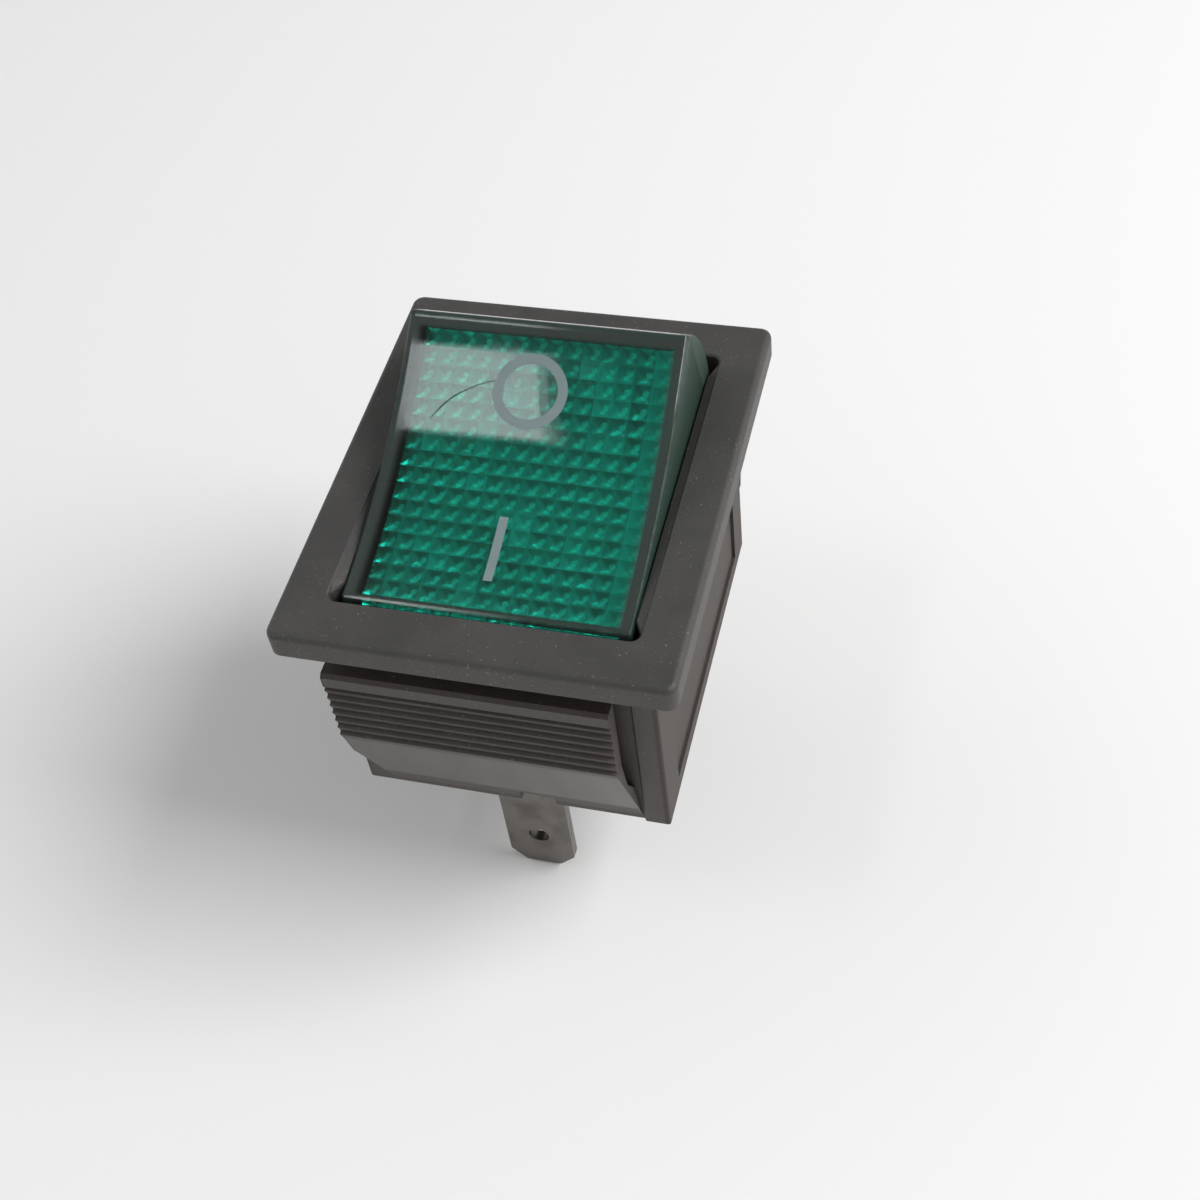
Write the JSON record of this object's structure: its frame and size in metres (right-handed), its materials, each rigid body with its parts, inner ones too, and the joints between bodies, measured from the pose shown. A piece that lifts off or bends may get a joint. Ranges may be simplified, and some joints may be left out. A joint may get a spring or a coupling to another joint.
{
  "type": "panel rocker switch",
  "caption": "Snap-in panel rocker switch: ribbed snap wings, prism-backed green lit rocker, and the rocking contact bar, plunger and lamp inside.",
  "frame": {"origin": "middle of the plane on which the bezel seats on the panel", "axes": "+Z out of the panel towards the user; X across the switch; Y along the rocking direction, with the I end at -Y and the O end at +Y"},
  "size_m": [0.0254, 0.031, 0.0369],
  "materials": {
    "black_plastic": "fine spark texture",
    "green_lens": "clear green, polished outside",
    "white_plastic": "plain moulded",
    "spring_steel": "bright wire",
    "copper_strip": "rolled strip",
    "contact_silver": "satin contact face",
    "tinned_brass": "plated, slightly dull",
    "bulb_glass": "clear glass",
    "resistor_body": "lacquered",
    "clear_sleeve": "milky sleeving",
    "tinned_wire": "tinned wire"
  },
  "bodies": {
    "base": {"housing": "black_plastic", "common_terminal": "tinned_brass", "load_terminal": "tinned_brass", "lamp_terminal": "tinned_brass", "fixed_contact_rivet": "contact_silver", "lamp_spring_front": "spring_steel", "lamp_spring_rear": "spring_steel"},
    "rocker": {"rocker_lens": "green_lens", "rocker_carrier": "black_plastic", "plunger_spring": "spring_steel", "neon_bulb": "bulb_glass", "lamp_resistor": "resistor_body", "lamp_lead_front": "tinned_wire", "lamp_lead_cross": "tinned_wire", "lead_sleeve": "clear_sleeve", "resistor_lead": "tinned_wire"},
    "plunger": {"plunger": "white_plastic"},
    "bar": {"contact_bar": "copper_strip", "moving_contact_rivet": "contact_silver"}
  },
  "joints": [
    {"name": "rocker_tilt", "type": "hinge", "parent": "base", "child": "rocker", "pos_m": [0, 0, -0.0009], "axis": [1, 0, 0], "range_deg": [-42, 0], "deforming": ["lamp_spring_front", "lamp_spring_rear"]},
    {"name": "plunger_slide", "type": "slide", "parent": "rocker", "child": "plunger", "axis": [0, -0.3584, 0.9336], "range_m": [0, 0.0008], "stiffness_N_per_m": 400, "springref_m": -0.002, "deforming": ["plunger_spring"]},
    {"name": "bar_rock", "type": "hinge", "parent": "base", "child": "bar", "pos_m": [0, 0, -0.01143], "axis": [1, 0, 0], "range_deg": [0, 16]}
  ],
  "couplings": [
    {"joint": "bar_rock", "follows": "rocker_tilt", "ratio": -0.38095}
  ]
}
